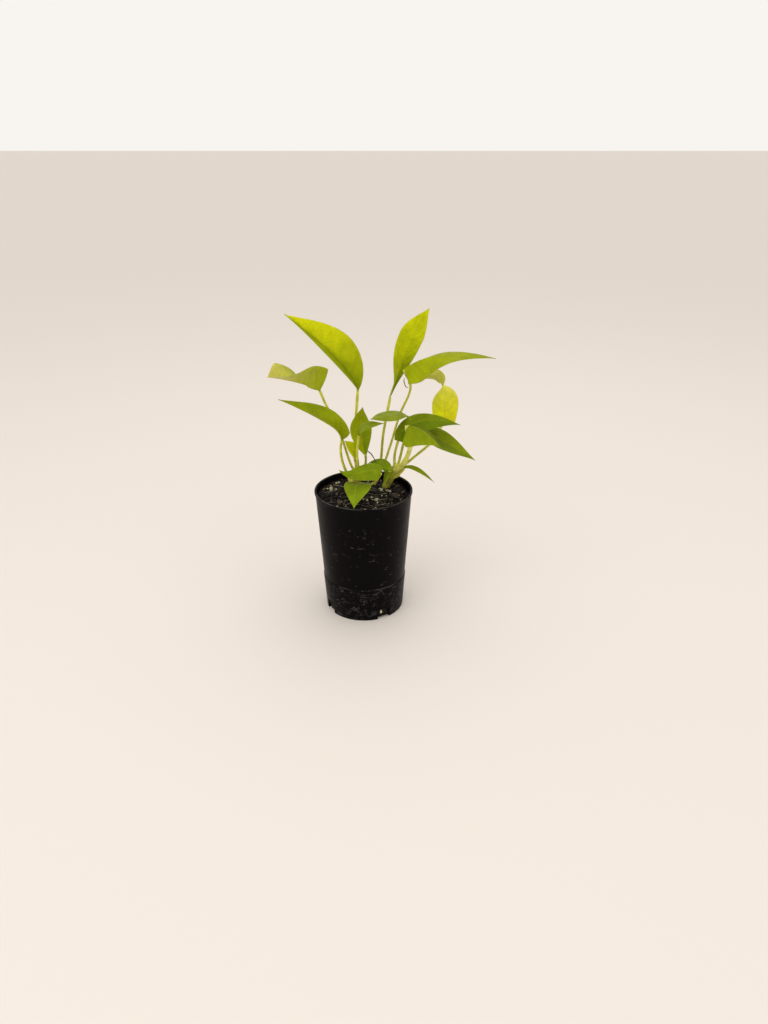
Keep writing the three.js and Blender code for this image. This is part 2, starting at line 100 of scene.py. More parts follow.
# Each leaf grows from a cane at node = (share of the visible cane, degrees round it from +X). bends
# are the points that its stalk passes through, and midrib the blade's four control points. face is
# the way that the upper side looks, and fold how far both halves rise out of flat, in degrees, each
# at the base and at the tip. halves are the widths left and right of the midrib, seen from above with
# the tip ahead. base is the width at the base as a share, widest where it is full, and lobe how far
# the base's corners reach back past the stalk, as a share of the midrib. stalk is the stalk's
# diameter where it isn't STALK_DIAMETER. tones are the colours at the left half's base and tip, and
# then the right half's.
LEAVES = {
    "upper_left": {
        "cane": "left_back", "node": (0.95, 80), "bends": ((-9, 25, 40),),
        "midrib": ((-5, 20, 98), (-10, 14, 122), (-35, 4, 148), (-70, -8, 178)),
        "face": ((0.6, -0.75, 0.4), (0.4, -0.75, 0.7)), "fold": (38, 38),
        "halves": (18, 22), "base": 0.05, "widest": 0.53, "lobe": 0,
        "tones": (MOSS, OLIVE, OLIVE, GLOW),
    },
    "curled_left": {
        "cane": "left_back", "node": (0.8, 170), "bends": ((-25, 14, 61), (-36, 6, 88)),
        "midrib": ((-41, 2, 103), (-55, -3, 113), (-71, -8, 117), (-88, -14, 121)),
        "face": ((0, 0.82, 0.57), (0, -0.2, 1)), "fold": (35, 30),
        "halves": (22, 17), "base": 1, "widest": 0.85, "lobe": -0.08,
        "tones": (SPRING, PALE, SPRING, CREAM),
    },
    "middle_left": {
        "cane": "left_front", "node": (0.8, 150), "bends": ((-21, 0, 31), (-22, -2, 46)),
        "midrib": ((-20, -4, 55), (-25, -10, 76), (-44, -20, 89), (-77, -32, 105)),
        "face": ((0.1, -0.5, 0.85), (0.1, -0.5, 0.85)), "fold": (35, 15),
        "halves": (9, 12), "base": 0.75, "widest": 0.4, "lobe": -0.05,
        "tones": (OLIVE, OLIVE, OLIVE, MOSS),
    },
    "front_centre": {
        "cane": "left_front", "node": (0.9, 20), "bends": ((-6, -4, 40),),
        "midrib": ((-4, -8, 61), (-3, -14, 75), (9, -24, 77), (21, -32, 82)),
        "face": ((0, -0.6, 0.8), (0, -0.6, 0.8)), "fold": (0, 0),
        "halves": (6, 7), "base": 0.6, "widest": 0.35, "lobe": 0,
        "tones": (MOSS, LEAFY, MOSS, LEAFY),
    },
    "upright_small": {
        "cane": "left_back", "node": (0.7, 0), "bends": ((2, 14, 24),),
        "midrib": ((2, 10, 34), (-2, 11, 49), (-4, 11, 65), (0, 10, 84)),
        "face": ((0, -1, 0.1), (0, -1, 0.1)), "fold": (12, 12),
        "halves": (11, 11), "base": 0.15, "widest": 0.58, "lobe": 0,
        "tones": (SPRING, OLIVE, GREEN, OLIVE),
    },
    "arching_centre": {
        "cane": "right", "node": (0.8, 70), "bends": ((41, 26, 40.8),),
        "midrib": ((46, 31, 65.3), (38.5, 23.5, 77.8), (21, -5, 78.8), (8, -22, 82.3)),
        "face": ((0, -0.3, 1), (0, -0.3, 1)), "fold": (8, -10),
        "halves": (12, 9), "base": 0.2, "widest": 0.6, "lobe": 0,
        "tones": (MOSS, MOSS, MOSS, MOSS),
    },
    "right_upper": {
        "cane": "right", "node": (0.95, 125), "bends": ((32, 13.2, 34),),
        "midrib": ((35, 7.2, 49.5), (39, 5.2, 72.5), (66, 1.2, 78.5), (95, -4.8, 70.5)),
        "face": ((0, -0.6, 0.8), (0, -0.5, 0.85)), "fold": (5, 0),
        "halves": (9.5, 16), "base": 0.4, "widest": 0.45, "lobe": 0,
        "tones": (LEAFY, LEAFY, DEEP, DEEP),
    },
    "right_front": {
        "cane": "right", "node": (0.95, -75), "bends": ((46, -11.6, 48),),
        "midrib": ((43, -14.6, 73), (50, -21.6, 76), (62, -31.6, 74), (74, -41.6, 61)),
        "face": ((0, -0.35, 0.94), (0, -0.35, 0.94)), "fold": (-40, -30),
        "halves": (12, 21), "base": 0.8, "widest": 0.35, "lobe": 0.02, "stalk": 5,
        "tones": (DEEP, DARK, MOSS, MOSS),
    },
    "right_lower": {
        "cane": "right", "node": (0.7, -5), "bends": ((48, 13, 41),),
        "midrib": ((54, 14, 56), (67, 12, 60), (87, 6, 45), (112, -4, 33)),
        "face": ((0.2, -0.5, 0.85), (0.2, -0.5, 0.85)), "fold": (8, 8),
        "halves": (11, 14), "base": 0.5, "widest": 0.48, "lobe": 0, "stalk": 4.5,
        "tones": (DARK, MOSS, DARK, LEAFY),
    },
    "yellow_back": {
        "cane": "right", "node": (0.7, 40), "bends": ((55, 24, 28), (71, 34, 39)),
        "midrib": ((83, 40, 59), (82, 40, 88), (85, 50, 118), (57, 56, 97)),
        "face": ((0.3, -1, 0.1), (0.5, 0.6, 0.3)), "fold": (0, 10),
        "halves": (15, 17), "base": 0.7, "widest": 0.3, "lobe": 0.05,
        "tones": (GLOW, PALE, YELLOW, PALE),
    },
    "small_right": {
        "cane": "right", "node": (0.5, -50), "bends": (),
        "midrib": ((41, 8, 20), (49, 8, 24), (61, 4, 17), (72, 0, 7)),
        "face": ((0, -0.5, 0.85), (0, -0.5, 0.85)), "fold": (15, 15),
        "halves": (2.5, 3.5), "base": 0.4, "widest": 0.45, "lobe": 0,
        "tones": (MOSS, MOSS, MOSS, MOSS),
    },
    "low_centre": {
        "cane": "right", "node": (0.6, 190), "bends": ((27, 10, 14),),
        "midrib": ((27, 6, 17), (25, 10, 26), (15, 14, 28), (5, 16, 22)),
        "face": ((0, -0.5, 0.85), (0, -0.5, 0.85)), "fold": (0, 0),
        "halves": (8, 4), "base": 0.7, "widest": 0.4, "lobe": 0,
        "tones": (FERN, DEEP, FERN, DEEP),
    },
    "low_right": {
        "cane": "right", "node": (0.15, 230), "bends": (),
        "midrib": ((26, 2, 18), (25, -1, 17), (23, -4, 14), (20, -7, 9)),
        "face": ((0, -0.5, 0.85), (0, -0.5, 0.85)), "fold": (0, 0),
        "halves": (4, 4), "base": 0.6, "widest": 0.3, "lobe": 0,
        "tones": (DEEP, LEAFY, DARK, DARK),
    },
    "low_front": {
        "cane": "left_front", "node": (0.5, -10), "bends": ((10, -4, 8),),
        "midrib": ((18, -6, 20), (9, -10, 32), (-11, -18, 16), (-24, -16, 28)),
        "face": ((0, -0.5, 0.85), (0, -0.5, 0.85)), "fold": (-5, -5),
        "halves": (12, 10), "base": 0.85, "widest": 0.25, "lobe": 0,
        "tones": (FERN, LEAFY, FERN, GREEN),
    },
    "rim_front": {
        "cane": "left_front", "node": (0.6, 260), "bends": ((-9, -8, 8),),
        "midrib": ((-5, -14, 12), (-6, -26, 18), (-8, -40, 17), (-8, -51, 2)),
        "face": ((0, -0.3, 1), (0, -0.6, 0.8)), "fold": (8, 8),
        "halves": (15, 11.5), "base": 0.8, "widest": 0.45, "lobe": 0,
        "tones": (DARK, FERN, DARK, FERN),
    },
    "small_back": {
        "cane": "left_back", "node": (0.6, 210), "bends": ((-8, 14, 18),),
        "midrib": ((-9, 12, 30), (-11, 13, 37), (-14, 13, 42), (-19, 14, 47)),
        "face": ((0.3, -0.9, 0.4), (0.3, -0.9, 0.4)), "fold": (20, 20),
        "halves": (4, 7), "base": 0.5, "widest": 0.5, "lobe": 0,
        "tones": (LIME, LIME, SPRING, GLOW),
    },
    "upper_right": {
        "cane": "back", "node": (0.9, 60), "bends": ((20, 37, 45),),
        "midrib": ((27, 34, 86), (35, 32, 113), (44, 26, 141), (64, 20, 178)),
        "face": ((0.9, -0.4, 0.1), (-0.1, -1, 0.2)), "fold": (20, 8),
        "halves": (14.5, 9.5), "base": 0.05, "widest": 0.73, "lobe": 0,
        "tones": (SPRING, LIME, DEEP, LIME),
    },
    "right_long": {
        "cane": "back", "node": (0.8, -20), "bends": ((28, 38, 35), (36.5, 34.5, 67), (47, 21, 101)),
        "midrib": ((40, 13, 120), (51, 8, 134), (81, 0, 143), (124, -16, 139)),
        "face": ((0, -0.35, 0.94), (0, -0.25, 0.97)), "fold": (-45, 0),
        "halves": (12, 22), "base": 0.6, "widest": 0.33, "lobe": 0.06,
        "tones": (SPRING, OLIVE, SPRING, OLIVE),
    },
}

# Dry strands that no leaf hangs on: the points each runs through, its diameter and its colour.
STRANDS = {
    "dry_tendril": {
        "route": ((2.8, 13, 37.5), (4.1, 12, 36.7), (7.7, 11, 34), (10.7, 11, 29), (13, 12, 25)),
        "diameter": 1.1, "tone": (0.012, 0.011, 0.016),
    },
    "dry_sheath": {
        "route": ((40.5, 8, 114), (40.1, 6.5, 111), (42.1, 6, 105.5), (44.4, 6.5, 104.5)),
        "diameter": 1.2, "tone": (0.3, 0.28, 0.02),
    },
}


# ---- Settings ----


class PothosPot(bpy.types.PropertyGroup):
    """Sizes and colours of the nursery pot."""

    foot_diameter: FloatProperty(
        name="Foot", description="Outside diameter at the table", default=0.082, unit="LENGTH"
    )
    wall: FloatProperty(
        name="Wall", description="Thickness of the wall", default=0.0012, unit="LENGTH"
    )
    floor: FloatProperty(
        name="Floor", description="Thickness of the floor", default=0.0016, unit="LENGTH"
    )
    rounding: FloatProperty(
        name="Rounding", description="Radius of the wall's edges", default=0.0004, unit="LENGTH"
    )
    lip: FloatProperty(
        name="Lip", description="Height of the thicker edge at the rim", default=0.003, unit="LENGTH"
    )
    lip_proud: FloatProperty(
        name="Lip stands out", description="How far the lip stands out", default=0.0007, unit="LENGTH"
    )
    band: FloatProperty(
        name="Foot band", description="Height of the thicker band", default=0.038, unit="LENGTH"
    )
    band_proud: FloatProperty(
        name="Band stands out", description="How far the band stands out", default=0.0006, unit="LENGTH"
    )
    drain_width: FloatProperty(
        name="Drain width", description="Width of a drain slot", default=0.014, unit="LENGTH"
    )
    drain_height: FloatProperty(
        name="Drain height", description="Height of a drain slot", default=0.012, unit="LENGTH"
    )
    drain_reach: FloatProperty(
        name="Drain reach", description="How far a slot runs in from the outside of the foot",
        default=0.009, unit="LENGTH",
    )
    drain_corner: FloatProperty(
        name="Drain corners", description="Radius of a slot's top corners", default=0.003, unit="LENGTH"
    )
    drain_turn: FloatProperty(
        name="Drain turn", description="From the front to the first slot",
        default=math.radians(30), subtype="ANGLE", unit="ROTATION",
    )
    plastic: FloatVectorProperty(
        name="Plastic", description="Colour of the plastic", default=(0.0024, 0.0017, 0.0021),
        subtype="COLOR", min=0, max=1,
    )
    scuff: FloatVectorProperty(
        name="Scuffs", description="Colour of scratches and dust", default=(0.3, 0.29, 0.27),
        subtype="COLOR", min=0, max=1,
    )


class PothosMix(bpy.types.PropertyGroup):
    """Sizes and colours of the potting mix and what lies on it."""

    lumps: FloatProperty(
        name="Lumps", description="Height of the lumps in the surface", default=0.0022, unit="LENGTH"
    )
    crumbs: IntProperty(name="Crumbs", description="Loose crumbs on the mix", default=420, min=0)
    chips: IntProperty(name="Chips", description="Loose slivers of bark", default=90, min=0)
    grains: IntProperty(name="Grains", description="Small perlite grains", default=70, min=0)
    fibres: IntProperty(name="Fibres", description="Loose fibres and roots", default=75, min=0)
    peat: FloatVectorProperty(
        name="Peat", description="Colour of the moist mix", default=(0.0042, 0.003, 0.0024),
        subtype="COLOR", min=0, max=1,
    )
    perlite: FloatVectorProperty(
        name="Perlite", description="Colour of the pale grains", default=(0.52, 0.5, 0.33),
        subtype="COLOR", min=0, max=1,
    )


class PothosCanes(bpy.types.PropertyGroup):
    """Sizes and colours of the canes and leaf stalks."""

    stoutness: FloatProperty(
        name="Stoutness", description="Stalk thickness as a share of the usual", default=1, min=0.1
    )
    channel: FloatProperty(
        name="Channel", description="Depth of the stalk's channel, as a share of its radius",
        default=0.4, subtype="FACTOR", min=0, max=1,
    )
    young: FloatVectorProperty(
        name="Young growth", description="Colour of the stalks", default=(0.6, 0.59, 0.06),
        subtype="COLOR", min=0, max=1,
    )
    old: FloatVectorProperty(
        name="Old growth", description="Colour of the canes at the mix", default=(0.33, 0.34, 0.03),
        subtype="COLOR", min=0, max=1,
    )


class PothosLeaves(bpy.types.PropertyGroup):
    """Sizes and finish of the leaf blades."""

    thickness: FloatProperty(
        name="Thickness", description="Of the blade", default=0.0007, unit="LENGTH"
    )
    rib: FloatProperty(
        name="Rib", description="How far the main rib stands out below", default=0.0009, unit="LENGTH"
    )
    quilting: FloatProperty(
        name="Quilting", description="Rise between the side veins", default=0.00015, unit="LENGTH"
    )
    veins: FloatProperty(
        name="Side veins", description="Side veins on each half of a long leaf", default=9, min=1
    )


class PothosStage(bpy.types.PropertyGroup):
    """The view, the floor and the light."""

    lens: FloatProperty(name="Lens", description="Focal length in mm", default=27.04)
    floor: FloatVectorProperty(
        name="Floor", description="Colour of the floor", default=(0.78, 0.72, 0.66),
        subtype="COLOR", min=0, max=1,
    )
    daylight: FloatProperty(name="Daylight", description="Strength of the even light", default=0.94)


# ---- Making meshes ----


def new_form():
    """A mesh under construction, with the values that the materials read at each corner."""
    form = bmesh.new()
    for layer in ("along", "across", "under"):
        form.verts.layers.float.new(layer)
    form.verts.layers.float_color.new("tone")
    return form


def tint(form, verts, tone):
    layer = form.verts.layers.float_color["tone"]
    for vert in verts:
        vert[layer] = (*tone, 1)


def wrap(form, steps, strips, place):
    """Adds a grid whose corners go to place(along, turn), which gives a point, how far across it
    is, whether it is on the underside, and its colour. Corners that meet are joined."""
    along_layer = form.verts.layers.float["along"]
    across_layer = form.verts.layers.float["across"]
    under_layer = form.verts.layers.float["under"]
    tone_layer = form.verts.layers.float_color["tone"]
    made = bmesh.ops.create_grid(form, x_segments=steps, y_segments=strips, size=0.5)["verts"]
    for vert in made:
        along = vert.co.x + 0.5
        vert.co, across, under, tone = place(along, vert.co.y + 0.5)
        vert[along_layer] = along
        vert[across_layer] = across
        vert[under_layer] = under
        vert[tone_layer] = (*tone, 1)
    bmesh.ops.remove_doubles(form, verts=made, dist=2e-6)


def piece(form, name, material, slot, *nodes):
    """Turns the form into a piece that stands for those CAD nodes."""
    bmesh.ops.recalc_face_normals(form, faces=form.faces)
    for face in form.faces:
        face.smooth = True
    mesh = bpy.data.meshes.new(name)
    form.to_mesh(mesh)
    form.free()
    mesh.materials.append(material)
    made = bpy.data.objects.new(name, mesh)
    bpy.context.scene.collection.objects.link(made)
    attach(made, "root")
    if nodes:
        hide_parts(*nodes)
    return made


def plant_point(point):
    """From millimetres off the centre of the rim plane to the frame's metres."""
    return Vector(point) * MM + Vector((0, 0, RIM))


def smooth(low, high, value):
    share = min(1, max(0, (value - low) / (high - low)))
    return share * share * (3 - 2 * share)


def mixed(first, second, share):
    return tuple(a + (b - a) * share for a, b in zip(first, second))


# ---- Materials ----


def node(tree, kind, inputs=(), **settings):
    """Adds a shader node. inputs gives each socket a value or the socket it takes it from."""
    made = tree.nodes.new("ShaderNode" + kind)
    for name, value in settings.items():
        setattr(made, name, value)
    for key, value in dict(inputs).items():
        if isinstance(value, bpy.types.NodeSocket):
            tree.links.new(value, made.inputs[key])
        else:
            made.inputs[key].default_value = value
    return made


def new_material(name):
    """A material's name, and its tree, main shader and place on the object."""
    material = bpy.data.materials.new(name)
    material.use_nodes = True
    tree = material.node_tree
    return material, tree, tree.nodes["Principled BSDF"], node(tree, "TexCoord").outputs["Object"]


def speckle(tree, coords, scale, detail=3, stretch=(1, 1, 1), turn=(0, 0, 0)):
    place = node(tree, "Mapping", {"Vector": coords, "Scale": stretch, "Rotation": turn})
    noisy = node(tree, "TexNoise", {"Vector": place.outputs[0], "Scale": scale, "Detail": detail})
    return noisy.outputs["Fac"]


def ramp(tree, value, low, high, start=0, end=1):
    """start where value is low or less, end where it is high or more, and smooth between."""
    made = node(tree, "MapRange", {"Value": value, "From Min": low, "From Max": high,
                                   "To Min": start, "To Max": end}, interpolation_type="SMOOTHSTEP")
    return made.outputs["Result"]


def calc(tree, operation, first, second=0.0):
    return node(tree, "Math", {0: first, 1: second}, operation=operation).outputs[0]


def tinted(tree, share, first, second, kind="MIX"):
    """A colour between two, each a colour or a socket."""
    first, second = (c if isinstance(c, bpy.types.NodeSocket) else (*c, 1) for c in (first, second))
    made = node(tree, "Mix", {0: share, 6: first, 7: second}, data_type="RGBA", blend_type=kind)
    return made.outputs[2]


def value_at(tree, name, output="Fac"):
    return node(tree, "Attribute", attribute_name=name).outputs[output]


def relief(tree, shader, height, depth, strength=1):
    bump = node(tree, "Bump", {"Height": height, "Distance": depth, "Strength": strength})
    tree.links.new(bump.outputs[0], shader.inputs["Normal"])


def scratches(tree, coords, stretch, turn, thick, patch_scale, patch_low):
    """Fine broken lines: the narrow middle of stretched noise, only in some patches."""
    noisy = speckle(tree, coords, 1, 2, stretch, turn)
    off = calc(tree, "ABSOLUTE", calc(tree, "SUBTRACT", noisy, 0.5))
    line = ramp(tree, off, 0, thick, 1, 0)
    patch = ramp(tree, speckle(tree, coords, patch_scale, 3, (1, 1, 1), turn), patch_low, patch_low + 0.05)
    return calc(tree, "MULTIPLY", line, patch)


def pot_plastic(settings):
    """Black moulded plastic with fine scratches, more of them on the foot band."""
    material, tree, shader, coords = new_material("pot_plastic")
    height = node(tree, "SeparateXYZ", {0: coords}).outputs["Z"]
    low = ramp(tree, height, settings.band - 0.001, settings.band + 0.001, 1, 0)
    rubbed = ramp(tree, speckle(tree, coords, 60, 3), 0.42, 0.62)
    sparse = scratches(tree, coords, (50, 50, 620), (0.1, -0.08, 0), 0.016, 150, 0.6)
    dense = calc(tree, "MAXIMUM",
                 scratches(tree, coords, (70, 70, 900), (0.22, 0.12, 0), 0.03, 200, 0.53),
                 scratches(tree, coords, (220, 220, 620), (-0.5, 0.5, 0.3), 0.02, 260, 0.6))
    dense = calc(tree, "MULTIPLY", dense, calc(tree, "MULTIPLY", low, 0.3))
    ridge = calc(tree, "ABSOLUTE", calc(tree, "SUBTRACT", height, settings.band))
    ring = calc(tree, "MULTIPLY", ramp(tree, ridge, 0.0001, 0.0004, 0.2, 0), rubbed)
    rim_gap = calc(tree, "SUBTRACT", RIM, height)
    rim = calc(tree, "MULTIPLY", ramp(tree, rim_gap, 0.0001, 0.0006, 0.13, 0),
               ramp(tree, speckle(tree, coords, 45, 2), 0.35, 0.6))
    dust = ramp(tree, speckle(tree, coords, 1500, 1), 0.7, 0.76, 0, 0.05)
    marks = calc(tree, "MAXIMUM", calc(tree, "MAXIMUM", calc(tree, "MULTIPLY", sparse, 0.28), dense),
                 calc(tree, "MAXIMUM", ring, calc(tree, "MAXIMUM", rim, dust)))
    marks = calc(tree, "MINIMUM", marks, 0.7)
    tree.links.new(tinted(tree, marks, settings.plastic, settings.scuff), shader.inputs["Base Color"])
    sheen = calc(tree, "ADD", ramp(tree, speckle(tree, coords, 30, 3), 0.3, 0.7, 0.3, 0.42),
                 calc(tree, "MULTIPLY", marks, 0.35))
    tree.links.new(sheen, shader.inputs["Roughness"])
    lines = speckle(tree, coords, 1, 2, (25, 25, 2600))
    shader.inputs["Specular IOR Level"].default_value = 0.04
    relief(tree, shader, calc(tree, "ADD", lines, marks), 0.00006, 0.5)
    return material


def crumbly(settings):
    """Moist peat: nearly black, with brown crumbs and a little shine."""
    material, tree, shader, coords = new_material("moist_peat")
    tone = value_at(tree, "tone", "Color")
    fine = speckle(tree, coords, 900, 5)
    tree.links.new(tinted(tree, 1, tone, tinted(tree, ramp(tree, fine, 0.3, 0.7), (0.45,) * 3,
                                               (1.7, 1.55, 1.4)), "MULTIPLY"),
                   shader.inputs["Base Color"])
    tree.links.new(ramp(tree, speckle(tree, coords, 500, 3), 0.4, 0.6, 0.5, 0.9),
                   shader.inputs["Roughness"])
    shader.inputs["Specular IOR Level"].default_value = 0.12
    relief(tree, shader, fine, 0.0007)
    return material


def rough_solid(name, settings_tone, scale):
    """Perlite, bark and fibres: their own tone at each corner, broken up and matte."""
    material, tree, shader, coords = new_material(name)
    tone = value_at(tree, "tone", "Color")
    fine = speckle(tree, coords, scale, 4)
    shade = tinted(tree, ramp(tree, fine, 0.3, 0.7), (settings_tone,) * 3, (1.15,) * 3)
    tree.links.new(tinted(tree, 1, tone, shade, "MULTIPLY"), shader.inputs["Base Color"])
    shader.inputs["Roughness"].default_value = 0.85
    relief(tree, shader, fine, 0.0003)
    return material


def green_stalk(name):
    """Smooth waxy stalk with fine lines along it."""
    material, tree, shader, coords = new_material(name)
    tone = value_at(tree, "tone", "Color")
    across = value_at(tree, "across")
    lines = node(tree, "TexNoise", {"Vector": node(tree, "CombineXYZ", {
        "X": calc(tree, "MULTIPLY", across, 9), "Y": calc(tree, "MULTIPLY", value_at(tree, "along"), 4),
    }).outputs[0], "Scale": 1, "Detail": 3}).outputs["Fac"]
    blotches = ramp(tree, speckle(tree, coords, 160, 3), 0.35, 0.65, 0.82, 1.1)
    shade = calc(tree, "MULTIPLY", ramp(tree, lines, 0.3, 0.7, 0.78, 1.12), blotches)
    shades = node(tree, "CombineXYZ", {"X": shade, "Y": shade, "Z": shade}).outputs[0]
    tree.links.new(tinted(tree, 1, tone, shades, "MULTIPLY"), shader.inputs["Base Color"])
    shader.inputs["Roughness"].default_value = 0.45
    shader.inputs["Specular IOR Level"].default_value = 0.25
    shader.inputs["Subsurface Weight"].default_value = 0.15
    shader.inputs["Subsurface Radius"].default_value = (0.8, 1, 0.2)
    shader.inputs["Subsurface Scale"].default_value = 0.002
    relief(tree, shader, lines, 0.0002, 0.6)
    return material


def leaf_skin(settings):
    """Waxy blade: paler main and side veins, soft blotches, painted shade in the grooves along the side
    veins with painted light between them, and a duller underside.
    """
    material, tree, shader, coords = new_material("leaf_skin")
    along = value_at(tree, "along")
    side = calc(tree, "ABSOLUTE", value_at(tree, "across"))
    under = value_at(tree, "under")
    tone = value_at(tree, "tone", "Color")
    sweep = calc(tree, "MULTIPLY", calc(tree, "POWER", side, 1.3), 0.16 * settings.veins)
    phase = calc(tree, "SUBTRACT", calc(tree, "MULTIPLY", along, settings.veins), sweep)
    near_vein = calc(tree, "PINGPONG", phase, 0.5)
    side_vein = calc(tree, "MULTIPLY", ramp(tree, near_vein, 0.01, 0.1, 1, 0),
                     ramp(tree, side, 0.75, 0.97, 1, 0))
    fine_phase = calc(tree, "PINGPONG", calc(tree, "MULTIPLY", phase, 4), 0.5)
    fine_vein = ramp(tree, fine_phase, 0.05, 0.4, 1, 0)
    main_vein = ramp(tree, side, 0.0, 0.045, 1, 0)
    edge = ramp(tree, side, 0.955, 0.995)
    cloud = ramp(tree, speckle(tree, coords, 70, 3), 0.3, 0.7, 0.88, 1.12)
    grain = ramp(tree, speckle(tree, coords, 420, 3), 0.3, 0.7, 0.94, 1.06)
    # Painted shade in the grooves along the side veins, and painted light on the rises between them.
    vein_groove_shading = ramp(tree, near_vein, 0.03, 0.4, 0.955, 1.02)
    shade = calc(tree, "MULTIPLY", calc(tree, "MULTIPLY", cloud, grain), vein_groove_shading)
    shades = node(tree, "CombineXYZ", {"X": shade, "Y": shade, "Z": shade}).outputs[0]
    colour = tinted(tree, 1, tone, shades, "MULTIPLY")
    veined = calc(tree, "ADD", calc(tree, "MULTIPLY", side_vein, 0.09),
                  calc(tree, "MULTIPLY", fine_vein, 0.03))
    colour = tinted(tree, veined, colour, (0.6, 0.6, 0.01))
    colour = tinted(tree, calc(tree, "MULTIPLY", main_vein, 0.35), colour, (0.5, 0.5, 0.02))
    colour = tinted(tree, calc(tree, "MULTIPLY", edge, 0.35), colour, (0.5, 0.48, 0.04))
    colour = tinted(tree, calc(tree, "MULTIPLY", under, 0.2), colour, (0.32, 0.32, 0.04))
    tree.links.new(colour, shader.inputs["Base Color"])
    rough = calc(tree, "ADD", ramp(tree, speckle(tree, coords, 130, 3), 0.3, 0.7, 0.4, 0.52),
                 calc(tree, "MULTIPLY", under, 0.12))
    tree.links.new(rough, shader.inputs["Roughness"])
    shader.inputs["IOR"].default_value = 1.13
    shader.inputs["Subsurface Weight"].default_value = 0.2
    shader.inputs["Subsurface Radius"].default_value = (0.7, 1, 0.1)
    shader.inputs["Subsurface Scale"].default_value = 0.0025
    pattern = calc(tree, "SUBTRACT", speckle(tree, coords, 800, 2),
                   calc(tree, "ADD", side_vein, calc(tree, "MULTIPLY", fine_vein, 0.4)))
    relief(tree, shader, pattern, 0.00012, 0.5)
    return material


# ---- The pot ----


def pot_form(settings):
    """The wall's profile, spun into a shell with rounded edges."""
    foot = settings.foot_diameter / 2
    barrel_foot = foot - settings.band_proud
    barrel_top = RIM_RADIUS - settings.lip_proud

    def barrel(z):
        return barrel_foot + (barrel_top - barrel_foot) * z / RIM

    band, lip_foot = settings.band, RIM - settings.lip
    profile = [
        (0, 0), (foot, 0), (barrel(band) + settings.band_proud, band - settings.band_proud),
        (barrel(band), band), (barrel(lip_foot), lip_foot),
        (RIM_RADIUS, lip_foot + settings.lip_proud), (RIM_RADIUS, RIM),
        (barrel(RIM) - settings.wall, RIM), (barrel(settings.wall) - settings.wall, settings.floor),
        (0, settings.floor),
    ]
    form = bmesh.new()
    corners = [form.verts.new((r, 0, z)) for r, z in profile]
    for pair in zip(corners, corners[1:]):
        form.edges.new(pair)
    bmesh.ops.bevel(form, geom=corners[1:3] + corners[5:8], offset=settings.rounding, segments=3,
                    profile=0.5, affect="VERTICES", material=-1)
    bmesh.ops.spin(form, geom=form.verts[:] + form.edges[:], axis=(0, 0, 1), cent=(0, 0, 0),
                   angle=2 * math.pi, steps=160, use_merge=True)
    bmesh.ops.remove_doubles(form, verts=form.verts, dist=1e-6)
    bmesh.ops.recalc_face_normals(form, faces=form.faces)
    return form


def drain_cutter(settings, turn):
    """A block with rounded top corners, lying across the foot of the wall."""
    outside = settings.foot_diameter / 2 + 0.004
    inside = settings.foot_diameter / 2 - settings.drain_reach
    form = bmesh.new()
    bmesh.ops.create_cube(form, size=1)
    bmesh.ops.scale(form, vec=(settings.drain_width, outside - inside, 2 * settings.drain_height),
                    verts=form.verts)
    tops = [e for e in form.edges if all(v.co.z > 0 for v in e.verts)
            and abs(e.verts[0].co.y - e.verts[1].co.y) > settings.drain_reach / 2]
    bmesh.ops.bevel(form, geom=tops, offset=settings.drain_corner, segments=6, profile=0.5,
                    affect="EDGES", material=-1)
    bmesh.ops.translate(form, vec=(0, -(outside + inside) / 2, 0), verts=form.verts)
    bmesh.ops.rotate(form, matrix=Matrix.Rotation(turn, 3, "Z"), verts=form.verts)
    mesh = bpy.data.meshes.new("drain_cutter")
    form.to_mesh(mesh)
    form.free()
    return bpy.data.objects.new("drain_cutter", mesh)


class PothosMakePot(bpy.types.Operator):
    """Makes the nursery pot with its foot band, lip and drain slots"""

    bl_idname = "pothos.make_pot"
    bl_label = "Nursery pot"

    def execute(self, context):
        settings = context.scene.pothos_pot
        mesh = bpy.data.meshes.new("nursery_pot")
        form = pot_form(settings)
        form.to_mesh(mesh)
        form.free()
        pot = bpy.data.objects.new("nursery_pot", mesh)
        context.scene.collection.objects.link(pot)
        cutters = []
        for quarter in range(4):
            cutter = drain_cutter(settings, settings.drain_turn + quarter * math.pi / 2)
            context.scene.collection.objects.link(cutter)
            cut = pot.modifiers.new("drain", "BOOLEAN")
            cut.object = cutter
            cut.operation = "DIFFERENCE"
            cut.solver = "EXACT"
            cutters.append(cutter)
        context.view_layer.update()
        shaped = bpy.data.meshes.new_from_object(pot.evaluated_get(context.evaluated_depsgraph_get()))
        pot.modifiers.clear()
        pot.data = shaped
        for cutter in cutters:
            bpy.data.objects.remove(cutter)
        shaped.name = "nursery_pot"
        for polygon in shaped.polygons:
            polygon.use_smooth = True
        shaped.set_sharp_from_angle(angle=math.radians(35))
        shaped.materials.append(pot_plastic(settings))
        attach(pot, "root")
        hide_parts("pot")
        return {"FINISHED"}


# ---- The mix and what lies on it ----


def mound(x, y):
    """Height of the smooth mound of mix."""
    share = math.hypot(x, y) / MIX_HIGH.x
    return MIX_HIGH.z - MIX_MOUND * share * share


def lumpy(settings, x, y):
    """Height of the mix with its lumps and hollows."""
    spot = Vector((x, y, 0))
    crumb = noise.voronoi(spot * 260)[0][0]
    wave = noise.noise(spot * 110) + 0.6 * noise.noise(spot * 420)
    return mound(x, y) + settings.lumps * (0.55 * wave + 0.45 - 0.9 * crumb)


